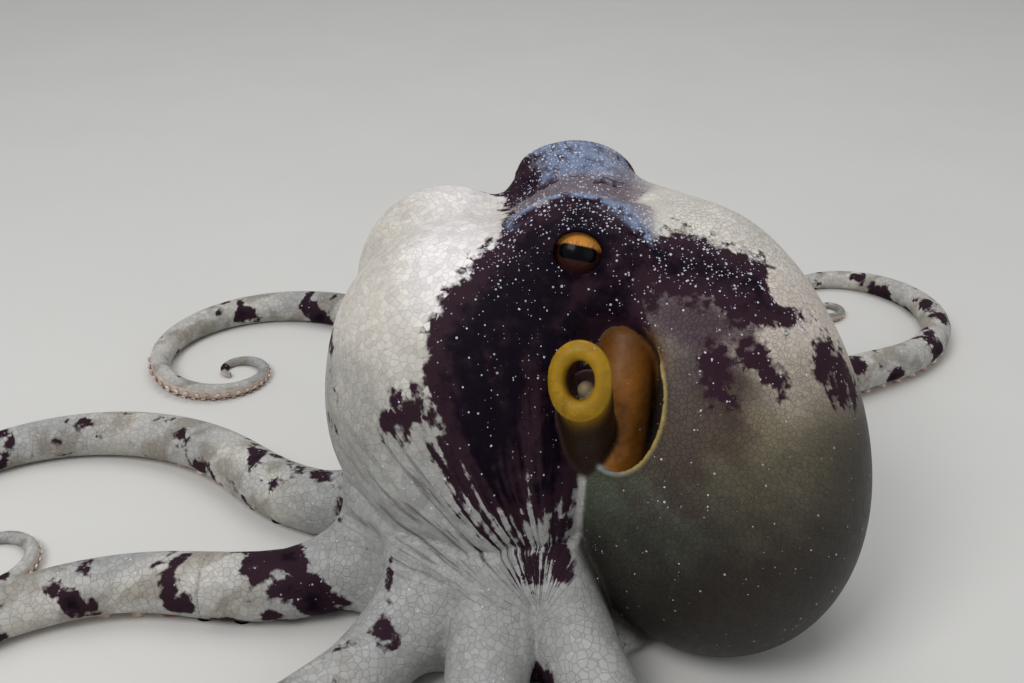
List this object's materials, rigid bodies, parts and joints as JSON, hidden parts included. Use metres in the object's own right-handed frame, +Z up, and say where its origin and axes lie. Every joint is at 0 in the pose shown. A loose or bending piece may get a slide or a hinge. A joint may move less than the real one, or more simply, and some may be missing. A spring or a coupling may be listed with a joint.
{
  "type": "octopus",
  "caption": "Still life-size octopus at rest: raised head, crown and web, bulbous mantle with open funnel, arms coiled flat on the floor",
  "frame": {"origin": "on the floor under the mouth, at the centre of the web's flat underside", "axes": "+Z up from the floor, -X the way the head faces, -Y the animal's left side, which is seen in front"},
  "size_m": [0.309, 0.351, 0.0954],
  "materials": {
    "mantle_skin": "moist mottled skin, tan and grey with dark blotches and a fine net pattern",
    "head_skin": "moist dark brown-purple skin with pale flecks",
    "crown_skin": "moist pale cream skin with a fine dark net pattern",
    "web_skin": "moist cream and brown streaked skin, stretched in folds",
    "arm_skin": "moist mottled skin with two rows of pale suckers below",
    "funnel_flesh": "smooth wet ochre flesh",
    "eye": "glossy ball with a dark slit pupil and a golden iris"
  },
  "bodies": {
    "root": {"mantle": "mantle_skin", "head": "head_skin", "crown": "crown_skin", "web": "web_skin", "funnel": "funnel_flesh", "collar": "funnel_flesh", "eye_left": "eye", "eye_right": "eye", "arm_left_1_length_1": "arm_skin", "arm_left_1_length_2": "arm_skin", "arm_left_1_length_3": "arm_skin", "arm_left_1_length_4": "arm_skin", "arm_left_1_tip": "arm_skin", "arm_left_2_length_1": "arm_skin", "arm_left_2_length_2": "arm_skin", "arm_left_2_length_3": "arm_skin", "arm_left_2_length_4": "arm_skin", "arm_left_2_tip": "arm_skin", "arm_left_3_length_1": "arm_skin", "arm_left_3_length_2": "arm_skin", "arm_left_3_length_3": "arm_skin", "arm_left_3_length_4": "arm_skin", "arm_left_3_tip": "arm_skin", "arm_left_4_length_1": "arm_skin", "arm_left_4_length_2": "arm_skin", "arm_left_4_length_3": "arm_skin", "arm_left_4_length_4": "arm_skin", "arm_left_4_tip": "arm_skin", "arm_right_1_length_1": "arm_skin", "arm_right_1_length_2": "arm_skin", "arm_right_1_length_3": "arm_skin", "arm_right_1_length_4": "arm_skin", "arm_right_1_tip": "arm_skin", "arm_right_2_length_1": "arm_skin", "arm_right_2_length_2": "arm_skin", "arm_right_2_length_3": "arm_skin", "arm_right_2_length_4": "arm_skin", "arm_right_2_tip": "arm_skin", "arm_right_3_length_1": "arm_skin", "arm_right_3_length_2": "arm_skin", "arm_right_3_length_3": "arm_skin", "arm_right_3_length_4": "arm_skin", "arm_right_3_tip": "arm_skin", "arm_right_4_length_1": "arm_skin", "arm_right_4_length_2": "arm_skin", "arm_right_4_length_3": "arm_skin", "arm_right_4_length_4": "arm_skin", "arm_right_4_tip": "arm_skin"}
  },
  "joints": []
}
